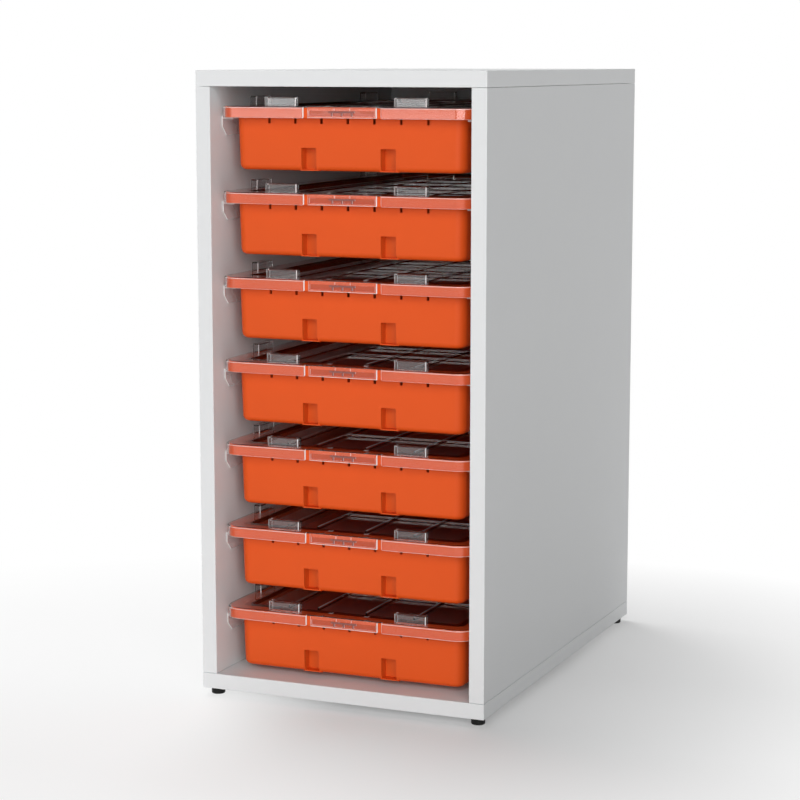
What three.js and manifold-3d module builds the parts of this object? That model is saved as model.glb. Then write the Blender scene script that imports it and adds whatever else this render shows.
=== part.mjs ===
// Classroom tray storage unit: a white board carcass on four glides, in which seven orange trays
// hang by their rims on clear runners, each under a clear lid with a front clip.
// Millimetres, +Z up, the front facing -Y, the origin on the floor under the middle of the unit.

import * as THREE from "three";
import { mergeVertices } from "three/addons/utils/BufferGeometryUtils.js";
import Module from "manifold-3d";

const wasm = await Module();
wasm.setup();

// Carcass
const UNIT_WIDTH = 352;
const UNIT_DEPTH = 535;
const CARCASS_HEIGHT = 717;
const BOARD = 18;
const SEAM = 0.3; // gap left between neighbouring pieces
const BACK_THICKNESS = 8;
const BACK_INSET = 6; // from the rear edges of the boards to the back panel
const GROOVE_DEPTH = 6;
const DOWEL_DIAMETER = 8;
const DOWEL_IN_SIDE = 19;
const DOWEL_IN_BOARD = 10;
const DOWEL_Y = 190; // dowels stand this far in front of and behind the middle
const DOWEL_SIDES = 8;

// Glides
const FOOT_HEIGHT = 9;
const FOOT_DIAMETER = 16;
const FOOT_EDGE = 1.5; // rounding of the lower edge
const FOOT_SIDE_INSET = 12.3;
const FOOT_END_INSET = 15;
const STEM_DIAMETER = 6;
const STEM_LENGTH = 12;
const FOOT_SIDES = 16;

// Tray levels: heights within a level are measured from the flat top of its lid
const TRAY_COUNT = 7;
const TRAY_PITCH = 96.7;
const TOP_CLEARANCE = 21.9; // from the highest lid to the underside of the top panel
const LID_SETBACK = 10.5; // from the front edge of the carcass to the lid's skirt

// Lid
const LID_WIDTH = 312;
const LID_LENGTH = 509;
const LID_CORNER = 23;
const LID_WALL = 2;
const SKIRT_HEIGHT = 13.5;
const CUTOUT_WIDTH = 94; // gap in the front skirt that takes the clip
const PANEL_INSET = 26.5; // from the lid's edges to the sunk panel in its middle
const PANEL_SINK = 4.5;
const PANEL_CORNER = 4;
const RIB_WIDTH = 1.6;
const RIB_HEIGHT = 3.2;
const RIB_X = [-88, -51, 10, 70.4]; // long ribs, from the middle
const CROSS_START = 1; // the long rib at which the cross ribs start
const RIB_FIRST_Y = 125.4; // first cross rib, from the lid's front edge
const RIB_PITCH_Y = 71;
const RIB_COUNT_Y = 5;
const RIB_FRONT = 42; // from the lid's front and rear edges to the ends of the long ribs
const LUG_LENGTH = 38.7;
const LUG_WIDTH = 9;
const LUG_HEIGHT = 10;
const LUG_CORNER = 1.2;
const END_LUG_X = 79; // lugs of the front and rear rows, from the middle
const END_LUG_INSET = 12.5; // from the lid's end to the middle of those lugs
const SIDE_LUG_INSET = 8.5; // from the lid's side to the middle of the lugs there
const SIDE_LUG_Y = [97, 412]; // middle of the side lugs, from the lid's front edge
const STRAP_X = 28; // hinge straps of the clip, from the middle
const STRAP_WIDTH = 3;
const STRAP_LENGTH = 6;
const STRAP_TOP = 0.8;
const STRAP_BOTTOM = -0.4;

// Clip in the front skirt
const CLIP_WIDTH = 84;
const CLIP_THICKNESS = 2;
const CLIP_TOP = -0.7;
const CLIP_BOTTOM = -13;
const CLIP_FRAME = 2; // border left round the sunk panel
const CLIP_BAND = 4.5; // height of the band above the sunk panel
const CLIP_SINK = 0.9;
const SHELF_WIDTH = 32;
const SHELF_THICKNESS = 1.4;
const SHELF_Z = -5.2;
const GUSSET_WIDTH = 1.8;
const GUSSET_SPACING = 12;
const ROLL_SIDES = 8;

// Tray
const RIM_GAP = 0.4; // between the rim and the lid
const RIM_WALL = 2.2;
const TRAY_WIDTH = 281; // outside of the walls, under the rim
const FRONT_OVERHANG = 16.5; // from the lid's skirt to the front wall
const TRAY_BOTTOM = -72.2;
const TRAY_DRAFT = 1.7; // how far each wall leans in from the rim to the bottom
const TRAY_CORNER = 12;
const TRAY_FILLET = 6.5; // rounding round the bottom
const TRAY_WALL = 2.2;
const SLOT_COUNT = 7;
const SLOT_PITCH = 32.3;
const SLOT_WIDTH = 3.2;
const SLOT_BOTTOM = -19;
const SLOT_TOP = -8;
const POCKET_X = 48.6;
const POCKET_WIDTH = 18.4;
const POCKET_TOP = -46.5;
const POCKET_DEPTH = 15;
const LIP_WIDTH = 24.5;
const LIP_THICKNESS = 1.2;
const LIP_SETBACK = 4; // from the front wall to the edge of the pocket's lip

// Runners
const RUNNER_TOP = -11.8;
const RUNNER_BOTTOM = -33.8;
const RUNNER_FRONT = 17.5; // behind the lid's front edge
const RUNNER_LENGTH = 487;
const RUNNER_PLATE = 1.2;
const RUNNER_CHAMFER = 10.3;
const LEDGE_WIDTH = 14.7;
const LEDGE_THICKNESS = 2.2;
const PEG_DIAMETER = 4.8;
const PEG_LENGTH = 8;
const PEG_Y = 190; // pegs stand this far in front of and behind the middle
const PEG_SIDES = 6;

// Heights and half sizes that follow
const CARCASS_BOTTOM = FOOT_HEIGHT;
const CARCASS_TOP = FOOT_HEIGHT + CARCASS_HEIGHT;
const INSIDE_BOTTOM = CARCASS_BOTTOM + BOARD;
const INSIDE_TOP = CARCASS_TOP - BOARD;
const INSIDE_HALF = UNIT_WIDTH / 2 - BOARD;
const HALF_DEPTH = UNIT_DEPTH / 2;
const BACK_REAR = HALF_DEPTH - BACK_INSET;
const BACK_FRONT = BACK_REAR - BACK_THICKNESS;
const LEVEL_Y = LID_SETBACK + LID_LENGTH / 2 - HALF_DEPTH;
const LID_FRONT = -LID_LENGTH / 2;
const PANEL_WIDTH = LID_WIDTH - 2 * PANEL_INSET;
const PANEL_LENGTH = LID_LENGTH - 2 * PANEL_INSET;
const RIM_WIDTH = LID_WIDTH - 2 * (LID_WALL + RIM_GAP);
const RIM_LENGTH = LID_LENGTH - 2 * (LID_WALL + RIM_GAP);
const RIM_CORNER = LID_CORNER - LID_WALL - RIM_GAP;
const RIM_TOP = -LID_WALL - RIM_GAP;
const TRAY_LENGTH = LID_LENGTH - 2 * FRONT_OVERHANG;
const FRONT_WALL = -TRAY_LENGTH / 2;
const CORNER_STEPS = 3; // facets in each rounded corner of a tray or lid
const CUT = 1; // how far a cutting solid runs past the face it opens

const levelHeight = (level) => INSIDE_TOP - TOP_CLEARANCE - level * TRAY_PITCH;

const white = new THREE.MeshStandardMaterial({ color: 0xe6e8e8, roughness: 0.45 });
const orange = new THREE.MeshStandardMaterial({ color: 0xe05a2b, roughness: 0.4 });
const clear = new THREE.MeshStandardMaterial({
  color: 0xf2f2f2,
  roughness: 0.1,
  transparent: true,
  opacity: 0.3,
});
const black = new THREE.MeshStandardMaterial({ color: 0x161616, roughness: 0.6 });
const beech = new THREE.MeshStandardMaterial({ color: 0xc9a678, roughness: 0.8 });

// A closed geometry as a solid for joining and cutting, without the slivers at a lathe's poles.
function solid(geometry) {
  const bare = geometry.clone();
  bare.deleteAttribute("normal");
  bare.deleteAttribute("uv");
  const merged = mergeVertices(bare, 1e-4);
  const corners = merged.index.array;
  const triangles = [];
  for (let i = 0; i < corners.length; i += 3) {
    const [a, b, c] = corners.slice(i, i + 3);
    if (a !== b && b !== c && c !== a) triangles.push(a, b, c);
  }
  return new wasm.Manifold(
    new wasm.Mesh({
      numProp: 3,
      vertProperties: new Float32Array(merged.attributes.position.array),
      triVerts: new Uint32Array(triangles),
    }),
  );
}

// A named mesh made from a solid.
function piece(name, shape, material) {
  const { vertProperties, triVerts } = shape.getMesh();
  const geometry = new THREE.BufferGeometry();
  geometry.setAttribute("position", new THREE.BufferAttribute(vertProperties, 3));
  geometry.setIndex(new THREE.BufferAttribute(triVerts, 1));
  geometry.computeVertexNormals();
  const mesh = new THREE.Mesh(geometry, material);
  mesh.name = name;
  return mesh;
}

function box(x0, x1, y0, y1, z0, z1) {
  const geometry = new THREE.BoxGeometry(x1 - x0, y1 - y0, z1 - z0);
  return solid(geometry.translate((x0 + x1) / 2, (y0 + y1) / 2, (z0 + z1) / 2));
}

// A post along Z, standing on z0.
function post(diameter, x, y, z0, z1, sides) {
  const geometry = new THREE.CylinderGeometry(diameter / 2, diameter / 2, z1 - z0, sides);
  return solid(geometry.rotateX(Math.PI / 2).translate(x, y, (z0 + z1) / 2));
}

// A peg along X.
function peg(diameter, x0, x1, y, z, sides) {
  const geometry = new THREE.CylinderGeometry(diameter / 2, diameter / 2, x1 - x0, sides);
  return solid(geometry.rotateZ(Math.PI / 2).translate((x0 + x1) / 2, y, z));
}

// Corner points of a rounded rectangle round the origin at one height, anticlockwise from above.
function ring(width, length, radius, z, steps) {
  const centres = [
    [width / 2 - radius, length / 2 - radius],
    [radius - width / 2, length / 2 - radius],
    [radius - width / 2, radius - length / 2],
    [width / 2 - radius, radius - length / 2],
  ];
  const points = [];
  centres.forEach(([x, y], quarter) => {
    for (let step = 0; step <= steps; step++) {
      const angle = ((quarter + step / steps) * Math.PI) / 2;
      points.push(new THREE.Vector3(x + radius * Math.cos(angle), y + radius * Math.sin(angle), z));
    }
  });
  return points;
}

// A closed skin through rings of equal count, the lowest first.
function loft(rings) {
  const count = rings[0].length;
  const last = (rings.length - 1) * count;
  const faces = [];
  for (let start = 0; start < last; start += count) {
    for (let i = 0; i < count; i++) {
      const a = start + i;
      const b = start + ((i + 1) % count);
      faces.push(a, b, b + count, a, b + count, a + count);
    }
  }
  const outline = rings[0].map((point) => new THREE.Vector2(point.x, point.y));
  for (const [i, j, k] of THREE.ShapeUtils.triangulateShape(outline, [])) {
    faces.push(k, j, i, last + i, last + j, last + k);
  }
  const geometry = new THREE.BufferGeometry().setFromPoints(rings.flat());
  geometry.setIndex(faces);
  return solid(geometry);
}

// A straight block with rounded corners.
function block(width, length, radius, z0, z1, steps) {
  return loft([z0, z1].map((z) => ring(width, length, radius, z, steps)));
}

const joined = (first, ...others) => others.reduce((sum, other) => sum.add(other), first);
const cutBy = (first, ...others) => others.reduce((rest, other) => rest.subtract(other), first);

// Places where a dowel or a glide stands, as signs of X and Y.
const CORNERS = [
  ["left", "front", -1, -1],
  ["right", "front", 1, -1],
  ["left", "rear", -1, 1],
  ["right", "rear", 1, 1],
];
const SIDES = [
  ["left", -1],
  ["right", 1],
];
const DOWEL_X = UNIT_WIDTH / 2 - BOARD / 2;
const FOOT_X = UNIT_WIDTH / 2 - FOOT_SIDE_INSET;
const FOOT_Y = HALF_DEPTH - FOOT_END_INSET;

// The top or bottom board: a groove for the back panel and dowel holes on its inner face.
function levelBoard(inner, outer) {
  const inward = Math.sign(inner - outer);
  const between = (a, b) => [Math.min(a, b), Math.max(a, b)];
  const grooveHalf = INSIDE_HALF + GROOVE_DEPTH + SEAM;
  const half = UNIT_WIDTH / 2;
  const board = box(-half, half, -HALF_DEPTH, HALF_DEPTH, ...between(inner, outer));
  const grooveSpan = between(inner + inward * CUT, inner - inward * (GROOVE_DEPTH + SEAM));
  const groove = box(-grooveHalf, grooveHalf, BACK_FRONT - SEAM, BACK_REAR + SEAM, ...grooveSpan);
  const holeSpan = between(inner + inward * CUT, inner - inward * (DOWEL_IN_BOARD + SEAM));
  const holes = CORNERS.map(([, , sx, sy]) =>
    post(DOWEL_DIAMETER + 2 * SEAM, sx * DOWEL_X, sy * DOWEL_Y, ...holeSpan, DOWEL_SIDES),
  );
  return cutBy(board, groove, ...holes);
}

function bottomBoard() {
  const sockets = CORNERS.map(([, , sx, sy]) =>
    post(
      STEM_DIAMETER + 2 * SEAM,
      sx * FOOT_X,
      sy * FOOT_Y,
      CARCASS_BOTTOM - CUT,
      CARCASS_BOTTOM + STEM_LENGTH + SEAM,
      FOOT_SIDES,
    ),
  );
  return cutBy(levelBoard(INSIDE_BOTTOM, CARCASS_BOTTOM), ...sockets);
}

// Middle height of a runner's pegs on a level.
const pegHeight = (level) => levelHeight(level) + (RUNNER_TOP + RUNNER_BOTTOM) / 2 - LEDGE_THICKNESS;

// A side board: full-height groove at the back, peg holes for the runners, dowel holes in its ends.
function sideBoard(sign) {
  const across = (a, b) => [Math.min(sign * a, sign * b), Math.max(sign * a, sign * b)];
  const bottom = INSIDE_BOTTOM + SEAM;
  const top = INSIDE_TOP - SEAM;
  const board = box(...across(INSIDE_HALF, UNIT_WIDTH / 2), -HALF_DEPTH, HALF_DEPTH, bottom, top);
  const grooveX = across(INSIDE_HALF - CUT, INSIDE_HALF + GROOVE_DEPTH + SEAM);
  const cuts = [box(...grooveX, BACK_FRONT - SEAM, BACK_REAR + SEAM, bottom - CUT, top + CUT)];
  const holeX = across(INSIDE_HALF - CUT, INSIDE_HALF + PEG_LENGTH + SEAM);
  for (let level = 0; level < TRAY_COUNT; level++) {
    for (const y of [-PEG_Y, PEG_Y]) {
      cuts.push(peg(PEG_DIAMETER + 2 * SEAM, ...holeX, y, pegHeight(level), PEG_SIDES));
    }
  }
  for (const y of [-DOWEL_Y, DOWEL_Y]) {
    const hole = [DOWEL_DIAMETER + 2 * SEAM, sign * DOWEL_X, y];
    cuts.push(post(...hole, bottom - CUT, INSIDE_BOTTOM + DOWEL_IN_SIDE + SEAM, DOWEL_SIDES));
    cuts.push(post(...hole, INSIDE_TOP - DOWEL_IN_SIDE - SEAM, top + CUT, DOWEL_SIDES));
  }
  return cutBy(board, ...cuts);
}

function backBoard() {
  const half = INSIDE_HALF + GROOVE_DEPTH;
  const bottom = INSIDE_BOTTOM - GROOVE_DEPTH;
  const top = INSIDE_TOP + GROOVE_DEPTH;
  return box(-half, half, BACK_FRONT, BACK_REAR, bottom, top);
}

function dowel(sx, sy, seam, towardsBoard) {
  const ends = [seam + towardsBoard * DOWEL_IN_BOARD, seam - towardsBoard * DOWEL_IN_SIDE];
  const low = Math.min(...ends);
  return post(DOWEL_DIAMETER, sx * DOWEL_X, sy * DOWEL_Y, low, Math.max(...ends), DOWEL_SIDES);
}

// A glide: a round pad with a softened lower edge and a stem that pushes into the bottom board.
function glide() {
  const radius = FOOT_DIAMETER / 2;
  const neck = FOOT_HEIGHT - SEAM;
  const tip = FOOT_HEIGHT + STEM_LENGTH;
  const bend = FOOT_EDGE * (1 - Math.SQRT1_2);
  const profile = [
    [0, 0],
    [radius - FOOT_EDGE, 0],
    [radius - bend, bend],
    [radius, FOOT_EDGE],
    [radius, neck],
    [STEM_DIAMETER / 2, neck],
    [STEM_DIAMETER / 2, tip],
    [0, tip],
  ].map(([x, y]) => new THREE.Vector2(x, y));
  return solid(new THREE.LatheGeometry(profile, FOOT_SIDES).rotateX(Math.PI / 2));
}

// A runner in the frame of its level: a plate on the wall, a ledge under the rim and two pegs.
function runner(sign) {
  const across = (a, b) => [Math.min(sign * a, sign * b), Math.max(sign * a, sign * b)];
  const front = LID_FRONT + RUNNER_FRONT;
  const rear = front + RUNNER_LENGTH;
  const outer = INSIDE_HALF - SEAM;
  const outline = new THREE.Shape([
    new THREE.Vector2(front, RUNNER_TOP),
    new THREE.Vector2(front, RUNNER_BOTTOM + RUNNER_CHAMFER),
    new THREE.Vector2(front + RUNNER_CHAMFER, RUNNER_BOTTOM),
    new THREE.Vector2(rear, RUNNER_BOTTOM),
    new THREE.Vector2(rear, RUNNER_TOP),
  ]);
  const plate = new THREE.ExtrudeGeometry(outline, { depth: RUNNER_PLATE, bevelEnabled: false });
  const upright = new THREE.Matrix4().makeBasis(
    new THREE.Vector3(0, 1, 0),
    new THREE.Vector3(0, 0, 1),
    new THREE.Vector3(1, 0, 0),
  );
  plate.applyMatrix4(upright).translate(sign > 0 ? outer - RUNNER_PLATE : -outer, 0, 0);
  const ledgeTop = -SKIRT_HEIGHT - SEAM;
  const ledgeX = across(outer - LEDGE_WIDTH, outer);
  const ledge = box(...ledgeX, front, rear, ledgeTop - LEDGE_THICKNESS, ledgeTop);
  const pegX = across(outer - RUNNER_PLATE / 2, INSIDE_HALF + PEG_LENGTH);
  const pegZ = (RUNNER_TOP + RUNNER_BOTTOM) / 2 - LEDGE_THICKNESS;
  const pegs = [-PEG_Y, PEG_Y].map((y) =>
    peg(PEG_DIAMETER, ...pegX, y - LEVEL_Y, pegZ, PEG_SIDES),
  );
  return joined(solid(plate), ledge, ...pegs);
}

// Rings of a tray's skin, inside or outside: a rounded bottom and walls that lean in.
function traySkin(thickness, fillet, bottom, top, filletSteps) {
  const skinRing = (z, inset) => {
    const lean = (TRAY_DRAFT * (RIM_TOP - z)) / (RIM_TOP - TRAY_BOTTOM);
    const less = 2 * (thickness + lean + inset);
    const corner = TRAY_CORNER - thickness - inset;
    return ring(TRAY_WIDTH - less, TRAY_LENGTH - less, corner, z, CORNER_STEPS);
  };
  const rings = [];
  for (let step = 0; step <= filletSteps; step++) {
    const angle = (step / filletSteps) * (Math.PI / 2);
    rings.push(skinRing(bottom + fillet * (1 - Math.cos(angle)), fillet * (1 - Math.sin(angle))));
  }
  rings.push(skinRing(top, 0));
  return loft(rings);
}

// A tray in the frame of its level: walls and bottom, a turned-down rim, slots and pockets in front.
function tray() {
  const rim = cutBy(
    block(RIM_WIDTH, RIM_LENGTH, RIM_CORNER, -SKIRT_HEIGHT, RIM_TOP, CORNER_STEPS),
    block(
      RIM_WIDTH - 2 * RIM_WALL,
      RIM_LENGTH - 2 * RIM_WALL,
      RIM_CORNER - RIM_WALL,
      -SKIRT_HEIGHT - CUT,
      RIM_TOP - RIM_WALL,
      CORNER_STEPS,
    ),
  );
  const outside = traySkin(0, TRAY_FILLET, TRAY_BOTTOM, RIM_TOP, 2);
  const innerFillet = TRAY_FILLET - TRAY_WALL;
  const hollow = traySkin(TRAY_WALL, innerFillet, TRAY_BOTTOM + TRAY_WALL, RIM_TOP + CUT, 1);
  let shape = cutBy(joined(rim, outside), hollow);
  const pockets = [];
  for (const x of [-POCKET_X, POCKET_X]) {
    const half = POCKET_WIDTH / 2;
    const back = FRONT_WALL + POCKET_DEPTH;
    const casing = box(
      x - half - TRAY_WALL,
      x + half + TRAY_WALL,
      FRONT_WALL + TRAY_FILLET / 2,
      back + TRAY_WALL,
      TRAY_BOTTOM + TRAY_WALL / 2,
      POCKET_TOP + TRAY_WALL,
    );
    shape = shape.add(casing);
    const floor = TRAY_BOTTOM + LIP_THICKNESS;
    pockets.push(box(x - half, x + half, FRONT_WALL - CUT, back, floor, POCKET_TOP));
    const lipHalf = LIP_WIDTH / 2;
    const lipFront = FRONT_WALL + LIP_SETBACK;
    shape = shape.add(box(x - lipHalf, x + lipHalf, lipFront, back, TRAY_BOTTOM, floor));
  }
  const slots = [];
  for (let i = 0; i < SLOT_COUNT; i++) {
    const x = (i - (SLOT_COUNT - 1) / 2) * SLOT_PITCH;
    const rear = FRONT_WALL + 2 * TRAY_WALL;
    const half = SLOT_WIDTH / 2;
    slots.push(box(x - half, x + half, FRONT_WALL - CUT, rear, SLOT_BOTTOM, SLOT_TOP));
  }
  return cutBy(shape, ...pockets, ...slots);
}

// One stacking lug, its length along X, or along Y where turned.
function lug(x, y, turned) {
  const size = turned ? [LUG_WIDTH, LUG_LENGTH] : [LUG_LENGTH, LUG_WIDTH];
  return block(...size, LUG_CORNER, -LID_WALL / 2, LUG_HEIGHT, 1).translate([x, y, 0]);
}

// The stiffening grid on the floor of the sunk panel.
function ribs() {
  const top = RIB_HEIGHT - PANEL_SINK;
  const bottom = -PANEL_SINK - LID_WALL / 2;
  const half = RIB_WIDTH / 2;
  const halfLength = LID_LENGTH / 2 - RIB_FRONT;
  const long = RIB_X.map((x) => box(x - half, x + half, -halfLength, halfLength, bottom, top));
  const cross = [];
  const left = RIB_X[CROSS_START];
  const right = PANEL_WIDTH / 2 + LID_WALL / 2;
  for (let i = 0; i < RIB_COUNT_Y; i++) {
    const y = LID_FRONT + RIB_FIRST_Y + i * RIB_PITCH_Y;
    cross.push(box(left, right, y - half, y + half, bottom, top));
  }
  return [...long, ...cross];
}

// A lid in the frame of its level: plate, skirt and sunk panel, with ribs, lugs and the two straps
// that carry the clip.
function lid() {
  const outside = block(LID_WIDTH, LID_LENGTH, LID_CORNER, -SKIRT_HEIGHT, 0, CORNER_STEPS);
  const inside = block(
    LID_WIDTH - 2 * LID_WALL,
    LID_LENGTH - 2 * LID_WALL,
    LID_CORNER - LID_WALL,
    -SKIRT_HEIGHT - CUT,
    -LID_WALL,
    CORNER_STEPS,
  );
  const cutHalf = CUTOUT_WIDTH / 2;
  const cutRear = LID_FRONT + LID_WALL + RIM_GAP;
  const cutout = box(-cutHalf, cutHalf, LID_FRONT - CUT, cutRear, -SKIRT_HEIGHT - CUT, CUT);
  const panel = block(
    PANEL_WIDTH + 2 * LID_WALL,
    PANEL_LENGTH + 2 * LID_WALL,
    PANEL_CORNER + LID_WALL,
    -PANEL_SINK - LID_WALL,
    -LID_WALL / 2,
    CORNER_STEPS,
  );
  const sunk = block(PANEL_WIDTH, PANEL_LENGTH, PANEL_CORNER, -PANEL_SINK, CUT, CORNER_STEPS);
  const shell = cutBy(joined(cutBy(outside, inside, cutout), panel), sunk);
  const lugs = [];
  for (const [, sx] of SIDES) {
    for (const [, sy] of SIDES) {
      lugs.push(lug(sx * END_LUG_X, sy * (LID_LENGTH / 2 - END_LUG_INSET), false));
    }
    for (const y of SIDE_LUG_Y) {
      lugs.push(lug(sx * (LID_WIDTH / 2 - SIDE_LUG_INSET), LID_FRONT + y, true));
    }
  }
  const straps = [-STRAP_X, STRAP_X].map((x) => {
    const half = STRAP_WIDTH / 2;
    const front = LID_FRONT + CLIP_THICKNESS / 4;
    return box(x - half, x + half, front, front + STRAP_LENGTH, STRAP_BOTTOM, STRAP_TOP);
  });
  return joined(shell, ...lugs, ...ribs(), ...straps);
}

// A clip in the frame of its level: a plate with a rounded upper edge to turn on, and a sunk front
// panel that holds a small shelf on three gussets.
function clip() {
  const half = CLIP_WIDTH / 2;
  const front = LID_FRONT;
  const rear = LID_FRONT + CLIP_THICKNESS;
  const radius = CLIP_THICKNESS / 2;
  const axisZ = CLIP_TOP - radius;
  const plate = box(-half, half, front, rear, CLIP_BOTTOM, axisZ);
  const roll = peg(CLIP_THICKNESS, -half, half, front + radius, axisZ, ROLL_SIDES);
  const sunkBottom = CLIP_BOTTOM + CLIP_FRAME;
  const sunkHalf = half - CLIP_FRAME;
  const sunkRear = front + CLIP_SINK;
  const sunk = box(-sunkHalf, sunkHalf, front - CUT, sunkRear, sunkBottom, -CLIP_BAND);
  const overlap = sunkRear + CLIP_SINK / 2;
  const shelfHalf = SHELF_WIDTH / 2;
  const shelf = box(-shelfHalf, shelfHalf, front, overlap, SHELF_Z - SHELF_THICKNESS, SHELF_Z);
  const gussets = [-1, 0, 1].map((i) => {
    const x = i * GUSSET_SPACING;
    const legTop = SHELF_Z - SHELF_THICKNESS / 2;
    const leg = GUSSET_WIDTH / 2;
    return box(x - leg, x + leg, front, overlap, sunkBottom, legTop);
  });
  return joined(cutBy(joined(plate, roll), sunk), shelf, ...gussets);
}

const unit = new THREE.Group();

unit.add(piece("top_panel", levelBoard(INSIDE_TOP, CARCASS_TOP), white));
unit.add(piece("bottom_panel", bottomBoard(), white));
for (const [side, sign] of SIDES) {
  unit.add(piece(`${side}_side_panel`, sideBoard(sign), white));
}
unit.add(piece("back_panel", backBoard(), white));

const glideShape = glide();
for (const [side, end, sx, sy] of CORNERS) {
  const foot = piece(`foot_${end}_${side}`, glideShape, black);
  foot.position.set(sx * FOOT_X, sy * FOOT_Y, 0);
  unit.add(foot);
  unit.add(piece(`dowel_top_${end}_${side}`, dowel(sx, sy, INSIDE_TOP, 1), beech));
  unit.add(piece(`dowel_bottom_${end}_${side}`, dowel(sx, sy, INSIDE_BOTTOM, -1), beech));
}

const trayShape = tray();
const lidShape = lid();
const clipShape = clip();
const runnerShapes = SIDES.map(([side, sign]) => [side, runner(sign)]);
for (let level = 0; level < TRAY_COUNT; level++) {
  const number = level + 1;
  const place = new THREE.Group();
  place.position.set(0, LEVEL_Y, levelHeight(level));
  place.add(piece(`tray_${number}`, trayShape, orange));
  place.add(piece(`lid_${number}`, lidShape, clear));
  place.add(piece(`lid_clip_${number}`, clipShape, clear));
  for (const [side, shape] of runnerShapes) {
    place.add(piece(`${side}_runner_${number}`, shape, clear));
  }
  unit.add(place);
}

export default unit;
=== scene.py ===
"""The looks of a classroom tray storage unit: a carcass of white faced board on black glides, with seven
orange trays on clear runners, each under a clear lid with a front clip.

Shapes are made in millimetres and turned to metres when a mesh is finished. The front faces -Y, and a
level's own frame has its origin in the middle of the flat top of its lid.
"""

import math

import bmesh
import bpy
from mathutils import Matrix, Vector

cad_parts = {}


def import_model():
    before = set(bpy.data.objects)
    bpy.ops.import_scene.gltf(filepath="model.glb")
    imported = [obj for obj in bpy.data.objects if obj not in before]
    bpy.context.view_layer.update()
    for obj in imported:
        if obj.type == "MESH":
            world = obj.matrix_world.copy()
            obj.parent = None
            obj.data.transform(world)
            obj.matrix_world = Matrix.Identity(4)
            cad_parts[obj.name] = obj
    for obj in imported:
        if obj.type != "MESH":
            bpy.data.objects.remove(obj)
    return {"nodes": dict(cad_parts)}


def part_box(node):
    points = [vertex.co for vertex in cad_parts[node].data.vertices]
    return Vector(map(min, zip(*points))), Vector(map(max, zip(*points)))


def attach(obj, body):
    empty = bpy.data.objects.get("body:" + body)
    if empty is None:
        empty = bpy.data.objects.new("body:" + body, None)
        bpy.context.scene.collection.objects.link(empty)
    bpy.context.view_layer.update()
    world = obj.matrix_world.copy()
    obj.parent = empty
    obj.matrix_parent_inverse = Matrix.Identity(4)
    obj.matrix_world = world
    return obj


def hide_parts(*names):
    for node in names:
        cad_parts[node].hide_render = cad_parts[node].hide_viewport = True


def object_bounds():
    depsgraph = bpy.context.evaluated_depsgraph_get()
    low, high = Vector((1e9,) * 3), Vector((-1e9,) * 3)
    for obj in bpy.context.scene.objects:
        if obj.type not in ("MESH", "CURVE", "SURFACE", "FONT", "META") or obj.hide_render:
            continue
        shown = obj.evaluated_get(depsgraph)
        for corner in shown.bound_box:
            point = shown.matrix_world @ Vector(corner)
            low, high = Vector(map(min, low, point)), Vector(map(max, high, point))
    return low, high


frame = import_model()
cad_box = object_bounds()

MM = 0.001
AXES = X, Y, Z = range(3)
SIDES = (("left", -1), ("right", 1))
ENDS = (("front", -1), ("rear", 1))
LEVELS = range(1, 8)

# Fit between neighbouring pieces
SEAM = 0.3
OVER = 1.0  # how far a cutting shape runs past the face that it opens

# Carcass boards
BOARD_EDGE = 0.6  # rounding of the boards' edges
BACK_EDGE = 0.3  # the same on the back panel

# Glides
FOOT_EDGE = 1.5
FOOT_TOP_EDGE = 0.4
STEM_RADIUS = 3.0

# Lid
LUG_HEIGHT = 10.0
LUG_LENGTH = 38.7
LUG_WIDTH = 9.0
LUG_CORNER = 1.2
LUG_EDGE = 0.7
LUG_WALL = 1.3
LUG_INNER_CORNER = 0.3  # least rounding of a corner in a lug
END_LUG_X = 79.0
END_LUG_INSET = 12.5
SIDE_LUG_INSET = 8.5
SIDE_LUG_Y = (97.0, 412.0)  # from the front of the lid
LID_CORNER = 23.0
LID_WALL = 2.0
LID_EDGE = 2.0
PLATE_THICKNESS = 1.2  # of the lid over the rim
LID_FILLET = 0.6
SKIRT_HEIGHT = 13.0
SKIRT_EDGE = 0.4
CUTOUT_WIDTH = 94.0
CUTOUT_CORNER = 1.6
CUT_CHAMFER = 0.7  # on the upright edges of the cutout and of the clip
PANEL_INSET = 26.5
PANEL_SINK = 4.5
PANEL_CORNER = 4.0
PANEL_EDGE = 0.5
RIB_WIDTH = 1.6
RIB_HEIGHT = 3.2
RIB_EDGE = 0.3
RIB_FOOT = 0.7  # slope at the foot of a rib
RIB_STEP = 0.075  # rise of that slope from the panel, and how much lower the cross ribs are
RIB_ROOT = 0.5  # how far a rib or a mark reaches into the plate under it
RIB_X = (-88.0, -51.0, 10.0, 70.4)
RIB_FRONT = 42.0  # from each end of the lid to the long ribs
CROSS_START = -51.0  # left end of the cross ribs
RIB_FIRST_Y = 125.4  # from the front of the lid to the first cross rib
RIB_PITCH_Y = 71.0
RIB_COUNT_Y = 5
RIB_TOP = RIB_HEIGHT - PANEL_SINK
STRAP_X = 28.0
STRAP_WIDTH = 3.0
STRAP_FRONT = 0.5  # from the front of the clip
STRAP_LENGTH = 6.0
STRAP_TOP = 0.8
STRAP_BOTTOM = -0.4
STRAP_EDGE = 0.35
TICK_X = 22.5  # small L-shaped marks on the plate, from the middle and from the front
TICK_Y = 18.0
TICK_LENGTH = 4.5
TICK_WIDTH = 0.7
TICK_HEIGHT = 0.3

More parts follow.
